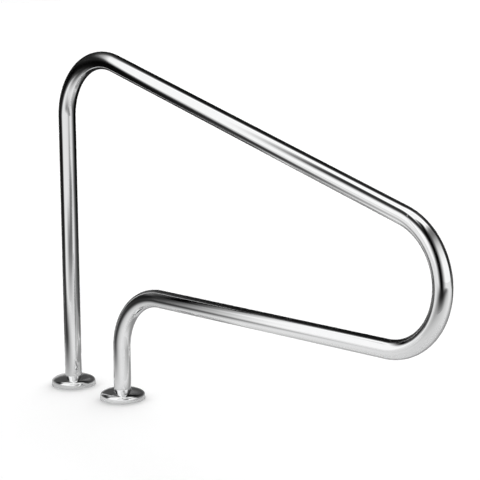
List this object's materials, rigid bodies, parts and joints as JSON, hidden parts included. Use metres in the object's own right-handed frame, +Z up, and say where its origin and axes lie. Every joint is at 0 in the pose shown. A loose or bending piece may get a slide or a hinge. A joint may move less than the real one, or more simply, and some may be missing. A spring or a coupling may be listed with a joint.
{
  "type": "pool handrail",
  "caption": "Deck-mounted pool handrail bent from one polished tube, with domed escutcheons over wedge anchors set in the deck.",
  "frame": {"origin": "on the deck surface, midway between the two legs", "axes": "+Z up, +X from the rear leg to the front leg and out over the pool, +Y to the left as seen looking out over the pool; mirror-symmetric about the X-Z plane"},
  "size_m": [1.4382, 0.127, 1.0681],
  "materials": {
    "polished_stainless": "polished",
    "cast_bronze": "satin",
    "fastener_stainless": "satin",
    "bonding_brass": "satin"
  },
  "bodies": {
    "anchors": {"rear_anchor_socket": "cast_bronze", "front_anchor_socket": "cast_bronze", "rear_bonding_screw": "bonding_brass", "front_bonding_screw": "bonding_brass", "rear_bonding_washer": "bonding_brass", "front_bonding_washer": "bonding_brass"},
    "rail": {"handrail_tube": "polished_stainless"},
    "rear_escutcheon": {"rear_escutcheon": "polished_stainless"},
    "front_escutcheon": {"front_escutcheon": "polished_stainless"},
    "rear_bolt": {"rear_wedge_bolt": "fastener_stainless", "rear_wedge_washer": "fastener_stainless"},
    "front_bolt": {"front_wedge_bolt": "fastener_stainless", "front_wedge_washer": "fastener_stainless"},
    "rear_wedge": {"rear_wedge": "cast_bronze"},
    "front_wedge": {"front_wedge": "cast_bronze"}
  },
  "joints": [
    {"name": "rail_lift", "type": "slide", "parent": "anchors", "child": "rail", "axis": [0, 0, 1], "range_m": [0, 0.15]},
    {"name": "rear_escutcheon_lift", "type": "slide", "parent": "anchors", "child": "rear_escutcheon", "axis": [0, 0, 1], "range_m": [0, 0.74]},
    {"name": "front_escutcheon_lift", "type": "slide", "parent": "anchors", "child": "front_escutcheon", "axis": [0, 0, 1], "range_m": [0, 0.11]},
    {"name": "rear_bolt_turn", "type": "hinge", "parent": "anchors", "child": "rear_bolt", "pos_m": [-0.1457, 0, -0.004], "axis": [-0.0785, 0, -0.9969], "range_deg": [-2722, 0]},
    {"name": "front_bolt_turn", "type": "hinge", "parent": "anchors", "child": "front_bolt", "pos_m": [0.0733, 0, -0.004], "axis": [-0.0785, 0, -0.9969], "range_deg": [-2722, 0]},
    {"name": "rear_wedge_slide", "type": "slide", "parent": "anchors", "child": "rear_wedge", "axis": [0.0785, 0, 0.9969], "range_m": [-0.012, 0]},
    {"name": "front_wedge_slide", "type": "slide", "parent": "anchors", "child": "front_wedge", "axis": [0.0785, 0, 0.9969], "range_m": [-0.012, 0]}
  ],
  "couplings": [
    {"joint": "rear_bolt_turn", "follows": "rear_wedge_slide", "rad_per_m": 3957.9},
    {"joint": "front_bolt_turn", "follows": "front_wedge_slide", "rad_per_m": 3957.9}
  ]
}
